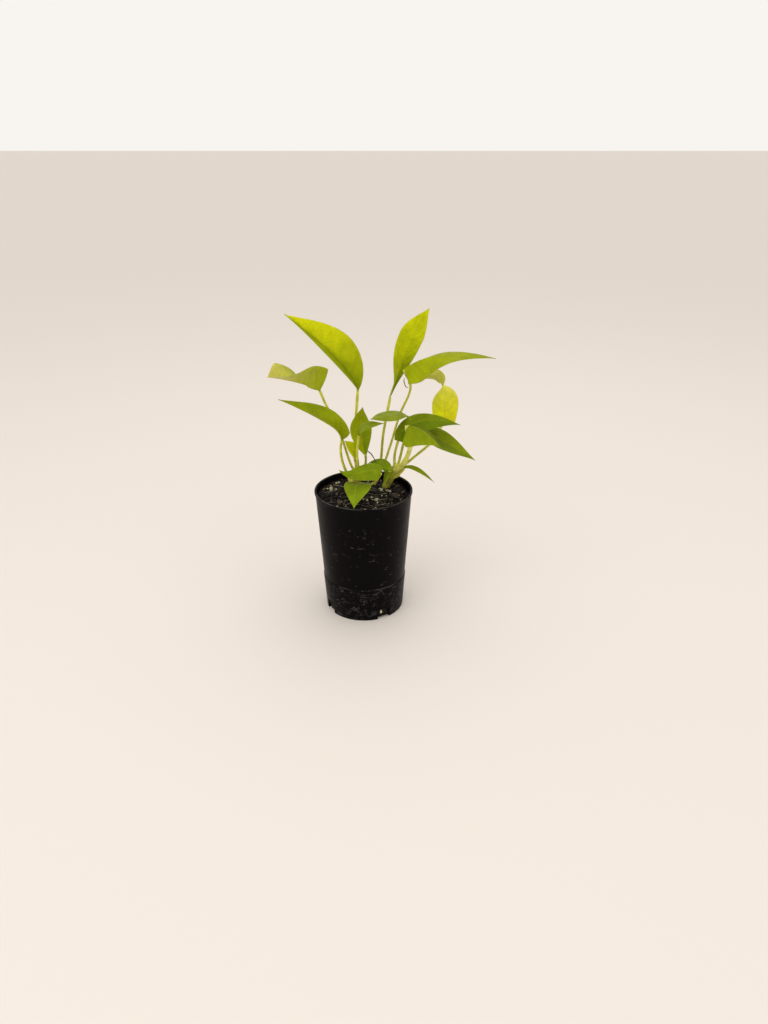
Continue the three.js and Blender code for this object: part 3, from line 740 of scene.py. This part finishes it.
def mix_form(settings):
    """The lumpy top, carried on down the wall and across the floor of the pot."""
    form = new_form()
    low = MIX_LOW.z + JUST_INSIDE
    top_ends, wall_ends = 0.84, 0.96

    def place(along, turn):
        angle = 2 * math.pi * turn
        down = (along - top_ends) / (wall_ends - top_ends)
        reach = min(1, along / top_ends) * (MIX_HIGH.x - 2 * JUST_INSIDE)
        if along > wall_ends:
            reach = MIX_FOOT * max(0, 1 - (along - wall_ends) / (1 - wall_ends))
        elif along > top_ends:
            reach = MIX_HIGH.x + (MIX_FOOT - MIX_HIGH.x) * down
        x, y = reach * math.cos(angle), reach * math.sin(angle)
        top = lumpy(settings, x, y)
        z = top if along <= top_ends else max(low, top + (low - top) * down)
        patch = smooth(-0.3, 0.5, noise.noise(Vector((x, y, z)) * 90))
        tone = mixed(settings.peat, (0.016, 0.01, 0.007), patch * 0.5)
        return Vector((x, y, z)), 0, 0, tone

    wrap(form, 100, 300, place)
    return form


def scattered(rng, reach):
    """A point inside a circle."""
    radius = reach * math.sqrt(rng.random())
    angle = rng.uniform(0, 2 * math.pi)
    return radius * math.cos(angle), radius * math.sin(angle)


def jagged(form, rng, verts, size, place, roughness):
    """Roughens a small solid, scales and turns it, and sets it in place."""
    for vert in verts:
        vert.co *= 1 + rng.uniform(-roughness, roughness)
    turn = Euler([rng.uniform(0, math.pi) for _ in range(3)] if size[2] > size[0] / 3 else
                 (rng.uniform(-0.35, 0.35), rng.uniform(-0.35, 0.35), rng.uniform(0, 2 * math.pi)))
    shape = Matrix.Translation(place) @ turn.to_matrix().to_4x4() @ Matrix.Diagonal((*size, 1))
    bmesh.ops.transform(form, matrix=shape, verts=verts)


def crumb_form(settings):
    """Loose crumbs of peat all over the mix."""
    rng = random.Random(11)
    form = new_form()
    for _ in range(settings.crumbs):
        x, y = scattered(rng, CRUMB_REACH)
        size = 0.0005 + 0.0011 * rng.random() ** 2
        made = bmesh.ops.create_icosphere(form, subdivisions=1, radius=1)["verts"]
        shape = (size * rng.uniform(0.8, 1.6), size, size * rng.uniform(0.6, 1))
        tint(form, made, mixed(settings.peat, (0.045, 0.026, 0.016), rng.random() ** 3))
        jagged(form, rng, made, shape, (x, y, lumpy(settings, x, y) + 0.3 * size), 0.25)
    return form


def chip_form(settings):
    """Slivers of bark, with the two big ones of the frame among them."""
    rng = random.Random(23)
    form = new_form()
    spots = []
    for name in ("bark_chip_broad", "bark_chip_narrow"):
        low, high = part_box(name)
        middle = (low + high) / 2
        spots.append((middle.x, middle.y, (high.x - low.x) * 0.42, (high.y - low.y) * 0.36, 0.0009))
    for _ in range(settings.chips):
        x, y = scattered(rng, CHIP_REACH)
        length = rng.uniform(0.0012, 0.0042)
        spots.append((x, y, length, length * rng.uniform(0.15, 0.45), rng.uniform(0.0003, 0.0006)))
    for x, y, length, width, depth in spots:
        made = bmesh.ops.create_cube(form, size=1.4)["verts"]
        edges = {edge for vert in made for edge in vert.link_edges}
        made = bmesh.ops.bevel(form, geom=list(edges), offset=0.22, segments=1, profile=0.5,
                               affect="EDGES", material=-1)["verts"]
        tone = mixed((0.016, 0.01, 0.007), (0.2, 0.13, 0.07), rng.random() ** 4)
        tint(form, made, tone)
        jagged(form, rng, made, (length, width, depth),
               (x, y, lumpy(settings, x, y) + 1.4 * depth), 0.22)
    return form


def grain_form(settings):
    """Perlite: the frame's grains, with small ones round them and scattered about."""
    rng = random.Random(5)
    form = new_form()
    grains = []
    for name in PERLITE:
        low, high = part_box(name)
        middle = (low + high) / 2
        grains.append((middle.x, middle.y, (high.x - low.x) / 2 * 0.95))
    for _ in range(settings.grains):
        if rng.random() < 0.6:
            near = grains[rng.randrange(len(PERLITE))]
            x, y = near[0] + rng.gauss(0, 0.004), near[1] + rng.gauss(0, 0.0035)
        else:
            x, y = scattered(rng, GRAIN_REACH)
        if math.hypot(x, y) < GRAIN_LIMIT:
            grains.append((x, y, 0.0004 + 0.0012 * rng.random() ** 2))
    for x, y, size in grains:
        made = bmesh.ops.create_icosphere(form, subdivisions=2, radius=1)["verts"]
        for vert in made:
            vert.co *= 1 + 0.35 * noise.noise(vert.co * 1.7 + Vector((x, y, size)) * 3000)
        tint(form, made, mixed(settings.perlite, (0.3, 0.25, 0.13), rng.random() ** 1.5))
        jagged(form, rng, made, (size, size * rng.uniform(0.7, 1), size * rng.uniform(0.6, 0.9)),
               (x, y, lumpy(settings, x, y) + 0.35 * size), 0.06)
    return form


def caught_grain_form(settings):
    """A grain of perlite caught in the side of a drain slot."""
    rng = random.Random(8)
    form = new_form()
    made = bmesh.ops.create_icosphere(form, subdivisions=2, radius=1)["verts"]
    tint(form, made, settings.perlite)
    jagged(form, rng, made, (0.0015, 0.0012, 0.0023), (0.0176, -0.0361, 0.0087), 0.12)
    return form


def fibre_form(settings):
    """Pale fibres and dry rootlets lying on the mix."""
    rng = random.Random(31)
    form = new_form()
    for _ in range(settings.fibres):
        x, y = scattered(rng, FIBRE_REACH)
        angle = rng.uniform(0, 2 * math.pi)
        length = rng.uniform(0.004, 0.024)
        bend = rng.uniform(-0.9, 0.9)
        route = []
        for _ in range(5):
            beyond = max(1, math.hypot(x, y) / FIBRE_LIMIT)
            x, y = x / beyond, y / beyond
            route.append(Vector((x, y, lumpy(settings, x, y) + rng.uniform(0.0003, 0.0013))))
            x += length / 4 * math.cos(angle)
            y += length / 4 * math.sin(angle)
            angle += bend / 4
        tone = mixed((0.07, 0.05, 0.028), (0.8, 0.74, 0.5), rng.random() ** 1.9)
        girth = rng.uniform(0.00008, 0.00019)
        tube(form, route, 10, 5, lambda share, _: girth * (1.1 - 0.6 * share), lambda *_: tone)
    return form


PERLITE = sorted(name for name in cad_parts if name.startswith("perlite_grain"))


class PothosMakeMix(bpy.types.Operator):
    """Makes the potting mix with its crumbs, bark, perlite and fibres"""

    bl_idname = "pothos.make_mix"
    bl_label = "Potting mix"

    def execute(self, context):
        settings = context.scene.pothos_mix
        peat = crumbly(settings)
        piece(mix_form(settings), "mix_body", peat, "potting_mix", "potting_mix")
        piece(crumb_form(settings), "mix_crumbs", peat, "potting_mix")
        bark = rough_solid("dry_bark", 0.5, 600)
        piece(chip_form(settings), "bark_slivers", bark, "bark", "bark_chip_broad", "bark_chip_narrow")
        pale = rough_solid("perlite", 0.85, 900)
        piece(grain_form(settings), "perlite_grains", pale, "perlite", *PERLITE)
        piece(fibre_form(settings), "mix_fibres", bark, "bark")
        piece(caught_grain_form(settings), "drain_grain", pale, "perlite")
        return {"FINISHED"}


# ---- Canes and stalks ----

CANE_BURIED = 16  # how far a cane goes into the mix below the rim plane, in millimetres
STALK_DIAMETER = 3  # of a stalk that doesn't say, in millimetres
CANE_CLEARANCE = 0.9  # from the cane to the side of a stalk that leaves it at a slant
SHEATH = 7  # how far a stalk's foot runs down along its cane


def spline_point(points, share):
    """A point on the smooth line through the points, which slows into tight bends."""
    last = len(points) - 1
    place = share * last
    index = min(last - 1, int(place))
    before = points[index - 1] if index else 2 * points[0] - points[1]
    after = points[index + 2] if index + 2 <= last else 2 * points[last] - points[last - 1]
    start, end = points[index], points[index + 1]
    gaps = [math.sqrt((b - a).length) for a, b in ((before, start), (start, end), (end, after))]
    leave = ((start - before) / gaps[0] - (end - before) / (gaps[0] + gaps[1])
             + (end - start) / gaps[1]) * gaps[1]
    arrive = ((end - start) / gaps[1] - (after - start) / (gaps[1] + gaps[2])
              + (after - end) / gaps[2]) * gaps[1]
    t = place - index
    return (start + leave * t + (3 * (end - start) - 2 * leave - arrive) * t ** 2
            + (2 * (start - end) + leave + arrive) * t ** 3)


def tube(form, route, steps, sides, radius, tone, inward=Vector((0, 0, 1))):
    """Adds a closed tube along the route. radius(share, angle) gives its radius, where angle is
    counted from the side that looks inward at the start, and tone(share, angle) its colour."""
    points = [spline_point(route, i / steps) for i in range(steps + 1)]
    rings = []
    for i, point in enumerate(points):
        tangent = (points[min(steps, i + 1)] - points[max(0, i - 1)]).normalized()
        inward = (inward - inward.dot(tangent) * tangent).normalized()
        rings.append((point, tangent, inward, tangent.cross(inward)))
    count = steps + 2

    def place(along, turn):
        ring = min(steps, max(0, round(along * count) - 1))
        point, _, face, side = rings[ring]
        share = ring / steps
        angle = 2 * math.pi * turn
        reach = 0 if along * count < 0.5 or along * count > count - 0.5 else radius(share, angle)
        spot = point + reach * (math.cos(angle) * face + math.sin(angle) * side)
        return spot, math.cos(angle / 2 if turn < 0.5 else math.pi - angle / 2), 0, tone(share, angle)

    wrap(form, count, sides, place)


def cane_axis(name):
    """Both ends of the cane above the mix's surface."""
    cane = CANES[name]
    return Vector((*cane["foot"], 0)), Vector(cane["top"])


def cane_form(name, settings):
    """A jointed cane with swollen nodes and dry sheath lines, standing deep in the mix."""
    foot, top = cane_axis(name)
    lean = (top - foot) / top.z
    base = foot - lean * CANE_BURIED
    radius = CANES[name]["diameter"] / 2 * MM
    seed = sum(map(ord, name))
    route = [plant_point(base.lerp(top, i / 4)) for i in range(5)]

    def girth(share, angle):
        joint = math.exp(-(((share * 3.2 + seed * 0.37) % 1 - 0.5) / 0.12) ** 2)
        wobble = 0.06 * noise.noise(Vector((3 * math.cos(angle), 3 * math.sin(angle), share * 9 + seed)))
        end = math.sqrt(max(0.02, 1 - max(0, (share - 0.86) / 0.14) ** 2))
        return radius * (0.93 + 0.1 * joint + wobble) * end

    def tone(share, angle):
        spot = Vector((2.5 * math.cos(angle), 2.5 * math.sin(angle), share * 2 + seed))
        streak = smooth(-0.2, 0.4, noise.noise(spot))
        dry = mixed(settings.old, (0.17, 0.13, 0.03), streak * 0.7)
        return mixed(dry, settings.young, smooth(0.25, 0.95, share) * (0.9 - 0.4 * streak))

    form = new_form()
    tube(form, route, 40, 24, girth, tone, Vector((0, -1, 0)))
    return form


def stalk_diameter(leaf):
    return leaf.get("stalk", STALK_DIAMETER)


def stalk_start(leaf):
    """The stalk's node on the cane's axis, the point where it comes clear, and its way out."""
    share, degrees = leaf["node"]
    foot, top = cane_axis(leaf["cane"])
    angle = math.radians(degrees)
    axis = (top - foot).normalized()
    away = Vector((math.cos(angle), math.sin(angle), 0))
    away = (away - away.dot(axis) * axis).normalized()
    offset = CANES[leaf["cane"]]["diameter"] / 2 + CANE_CLEARANCE + stalk_diameter(leaf) / 2
    inside = foot.lerp(top, share)
    return inside, inside + away * offset, away


def stalk_form(leaf, settings):
    """A channelled stalk that sheathes its cane at the foot and swells just under the blade."""
    axis, start, away = stalk_start(leaf)
    foot, top = cane_axis(leaf["cane"])
    drop = (top - foot).normalized() * SHEATH
    onward = [Vector(p) for p in (*leaf["bends"], leaf["midrib"][0])]
    route = [axis - drop, axis.lerp(start, 0.72) - drop * 0.2, start.lerp(onward[0], 0.12), *onward]
    radius = stalk_diameter(leaf) / 2 * MM * settings.stoutness
    thick = smooth(STALK_DIAMETER, 5, stalk_diameter(leaf))

    def girth(share, angle):
        sheath = 1 + 0.55 * (1 - smooth(0.02, 0.3, share))
        knee = 1 + 0.16 * math.exp(-((share - 0.95) / 0.03) ** 2)
        facing = min(angle, 2 * math.pi - angle)
        channel = settings.channel * math.exp(-(facing / 0.62) ** 2) * smooth(0.02, 0.1, share)
        return radius * sheath * knee * (1.02 - 0.16 * share) * (1 - channel)

    def tone(share, angle):
        facing = min(angle, 2 * math.pi - angle)
        green = 0.3 * math.exp(-(facing / 0.5) ** 2) + 0.2 * (1 - smooth(0, 0.25, share))
        young = mixed(settings.young, (0.72, 0.71, 0.16), thick * 0.8)
        return mixed(young, (0.2, 0.27, 0.012), green)

    form = new_form()
    tube(form, [plant_point(p) for p in route], 44, 20, girth, tone, -away)
    return form


def strand_form(strand):
    """A thin shrivelled strand, tapered to both ends."""
    form = new_form()
    radius = strand["diameter"] / 2 * MM
    tube(form, [plant_point(p) for p in strand["route"]], 24, 8,
         lambda share, _: radius * (0.35 + 0.65 * math.sin(math.pi * share)),
         lambda *_: strand["tone"])
    return form


class PothosMakeCanes(bpy.types.Operator):
    """Makes the canes, the leaf stalks and the dry tendrils"""

    bl_idname = "pothos.make_canes"
    bl_label = "Canes and stalks"

    def execute(self, context):
        settings = context.scene.pothos_canes
        skin = green_stalk("cane_skin")
        for name in CANES:
            piece(cane_form(name, settings), f"cane_{name}", skin, "stem", f"stem_{name}")
        stalk_skin = green_stalk("stalk_skin")
        for name, leaf in LEAVES.items():
            form = stalk_form(leaf, settings)
            piece(form, f"stalk_{name}", stalk_skin, "petiole", f"petiole_{name}")
        dry = rough_solid("dry_strand", 0.6, 900)
        for name, strand in STRANDS.items():
            piece(strand_form(strand), name, dry, "bark")
        return {"FINISHED"}


# ---- Leaves ----

LEAF_STEPS = 64
LEAF_TURNS = 104


def outline(leaf, along):
    """Width of a blade as a share of its full width."""
    if along < leaf["widest"]:
        return leaf["base"] + (1 - leaf["base"]) * math.sin(math.pi / 2 * along / leaf["widest"])
    share = (along - leaf["widest"]) / (1 - leaf["widest"])
    return max(0.008, (1 - share ** 1.8) ** 1.25)


def midrib(leaf, along):
    """The point and direction at a share of the midrib."""
    first, second, third, fourth = (Vector(p) for p in leaf["midrib"])
    near, middle, far = first.lerp(second, along), second.lerp(third, along), third.lerp(fourth, along)
    back, ahead = near.lerp(middle, along), middle.lerp(far, along)
    return back.lerp(ahead, along), (ahead - back).normalized()


def leaf_form(name, leaf, settings):
    """One blade as a closed skin: the upper side from left to right, and back underneath."""
    points = [midrib(leaf, i / 60)[0] for i in range(61)]
    length = sum((b - a).length for a, b in zip(points, points[1:]))
    thick = settings.thickness / MM / 2
    veins = settings.veins
    seed = sum(map(ord, name)) % 97
    left_base, left_tip, right_base, right_tip = leaf["tones"]

    @functools.cache
    def rib(along):
        point, tangent = midrib(leaf, along)
        twist = smooth(0, 0.85, along)
        face = Vector(leaf["face"][0]).normalized().lerp(Vector(leaf["face"][1]).normalized(), twist)
        side = face.cross(tangent).normalized()
        tilt = math.radians(leaf["fold"][0] + (leaf["fold"][1] - leaf["fold"][0]) * twist)
        return point, tangent, side, tangent.cross(side), tilt

    def place(along, turn):
        under = turn > 0.5
        flat = 4 * turn - 3 if under else 1 - 4 * turn
        across = math.copysign(abs(flat) ** 1.25, flat)
        point, tangent, side, up, tilt = rib(along)
        half = leaf["halves"][0 if across > 0 else 1]
        reach = half * outline(leaf, along) * across
        gap = abs(reach)
        corner = abs(across) ** 2.2 * max(0, 1 - along / 0.4) ** 2
        fade = min(1, gap / 3) * max(0, 1 - abs(across) ** 6) * smooth(0, 0.08, along)
        phase = along * veins - 0.16 * veins * abs(across) ** 1.3
        lift = settings.quilting / MM * fade * -math.cos(2 * math.pi * phase)
        lift += 0.5 * abs(across) ** 3 * (half / 20) * noise.noise(Vector((along * 5, across, seed)))
        body = thick * (max(0, 1 - across * across) ** 0.4 * 0.85 + 0.03)
        if under:
            rise = lift - body - settings.rib / MM * (1 - 0.8 * along) * math.exp(-((gap / 0.9) ** 2))
        else:
            rise = lift + body - 0.32 * (1 - 0.7 * along) * math.exp(-((gap / 0.8) ** 2))
        spot = point + side * reach * math.cos(tilt) + up * (gap * math.sin(tilt) + rise)
        spot -= tangent * leaf["lobe"] * length * corner
        # The tones hold the leaf's own colour together with painted light and shade: a half or a blade in
        # shade has a darker tone, a brightly lit one a paler tone.
        share = smooth(0, 1, along)
        left = mixed(left_base, left_tip, share)
        right = mixed(right_base, right_tip, share)
        tone = mixed(right, left, smooth(-0.12, 0.12, across))
        return plant_point(spot), across, float(under), tone

    form = new_form()
    wrap(form, LEAF_STEPS, LEAF_TURNS, place)
    bmesh.ops.holes_fill(form, edges=form.edges, sides=LEAF_TURNS + 2)
    return form


class PothosMakeLeaves(bpy.types.Operator):
    """Makes the leaf blades"""

    bl_idname = "pothos.make_leaves"
    bl_label = "Leaves"

    def execute(self, context):
        settings = context.scene.pothos_leaves
        skin = leaf_skin(settings)
        for name, leaf in LEAVES.items():
            piece(leaf_form(name, leaf, settings), f"leaf_{name}", skin, "leaf", f"blade_{name}")
        return {"FINISHED"}


# ---- The stage ----

VIEW_PLACE = (0.02085, -0.7152, 0.4556)
VIEW_TILT = math.radians(64)  # up from looking straight down
PLANT_MIDDLE = (0.01, 0, 0.18)


def soft_light(name, place, power):
    """A broad round lamp that looks at the middle of the plant."""
    data = bpy.data.lights.new(name, "AREA")
    data.shape = "DISK"
    data.size = 1.2
    data.energy = power
    lamp = bpy.data.objects.new(name, data)
    lamp.location = place
    lamp.rotation_euler = (Vector(PLANT_MIDDLE) - Vector(place)).to_track_quat("-Z", "Y").to_euler()
    bpy.context.scene.collection.objects.link(lamp)


class PothosMakeStage(bpy.types.Operator):
    """Sets the camera, the floor and the studio light"""

    bl_idname = "pothos.make_stage"
    bl_label = "Stage"

    def execute(self, context):
        settings = context.scene.pothos_stage
        data = bpy.data.cameras.new("view")
        data.lens = settings.lens
        data.sensor_width = 36
        data.clip_start = 0.01
        camera = bpy.data.objects.new("view", data)
        camera.location = VIEW_PLACE
        camera.rotation_euler = (VIEW_TILT, 0, 0)
        context.scene.collection.objects.link(camera)
        context.scene.camera = camera

        form = bmesh.new()
        bmesh.ops.create_grid(form, x_segments=1, y_segments=1, size=30)
        mesh = bpy.data.meshes.new("floor")
        form.to_mesh(mesh)
        form.free()
        material, _, shader, _ = new_material("floor")
        shader.inputs["Base Color"].default_value = (*settings.floor, 1)
        shader.inputs["Roughness"].default_value = 0.7
        mesh.materials.append(material)
        floor = bpy.data.objects.new("floor", mesh)
        context.scene.collection.objects.link(floor)

        world = bpy.data.worlds.new("daylight")
        world.use_nodes = True
        sky = world.node_tree.nodes["Background"]
        sky.inputs["Color"].default_value = (1, 0.965, 0.93, 1)
        sky.inputs["Strength"].default_value = settings.daylight
        context.scene.world = world
        context.scene.view_settings.view_transform = "Standard"
        soft_light("key", (-0.55, -0.75, 1.15), 4.2)
        soft_light("fill", (0.9, -0.6, 0.6), 1)
        soft_light("top", (0.2, 0.5, 1.2), 1.8)
        return {"FINISHED"}


# ---- Panel and registration ----

STEPS = (PothosMakePot, PothosMakeMix, PothosMakeCanes, PothosMakeLeaves, PothosMakeStage)
GROUPS = {
    "pothos_pot": PothosPot,
    "pothos_mix": PothosMix,
    "pothos_canes": PothosCanes,
    "pothos_leaves": PothosLeaves,
    "pothos_stage": PothosStage,
}


class PothosPanel(bpy.types.Panel):
    """Lists the plant's pieces and their settings"""

    bl_idname = "VIEW3D_PT_pothos"
    bl_label = "Potted pothos"
    bl_space_type = "VIEW_3D"
    bl_region_type = "UI"
    bl_category = "Pothos"

    def draw(self, context):
        for step, name in zip(STEPS, GROUPS):
            box = self.layout.box()
            box.operator(step.bl_idname)
            settings = getattr(context.scene, name)
            for key in settings.bl_rna.properties.keys():
                if key not in ("rna_type", "name"):
                    box.prop(settings, key)


def register():
    for group in GROUPS.values():
        bpy.utils.register_class(group)
    for step in STEPS:
        bpy.utils.register_class(step)
    bpy.utils.register_class(PothosPanel)
    for name, group in GROUPS.items():
        setattr(bpy.types.Scene, name, PointerProperty(type=group))


def unregister():
    for name in GROUPS:
        delattr(bpy.types.Scene, name)
    bpy.utils.unregister_class(PothosPanel)
    for step in reversed(STEPS):
        bpy.utils.unregister_class(step)
    for group in reversed(GROUPS.values()):
        bpy.utils.unregister_class(group)


def main():
    register()
    bpy.ops.pothos.make_stage()
    bpy.ops.pothos.make_pot()
    bpy.ops.pothos.make_mix()
    bpy.ops.pothos.make_canes()
    bpy.ops.pothos.make_leaves()


if __name__ == "__main__":
    main()
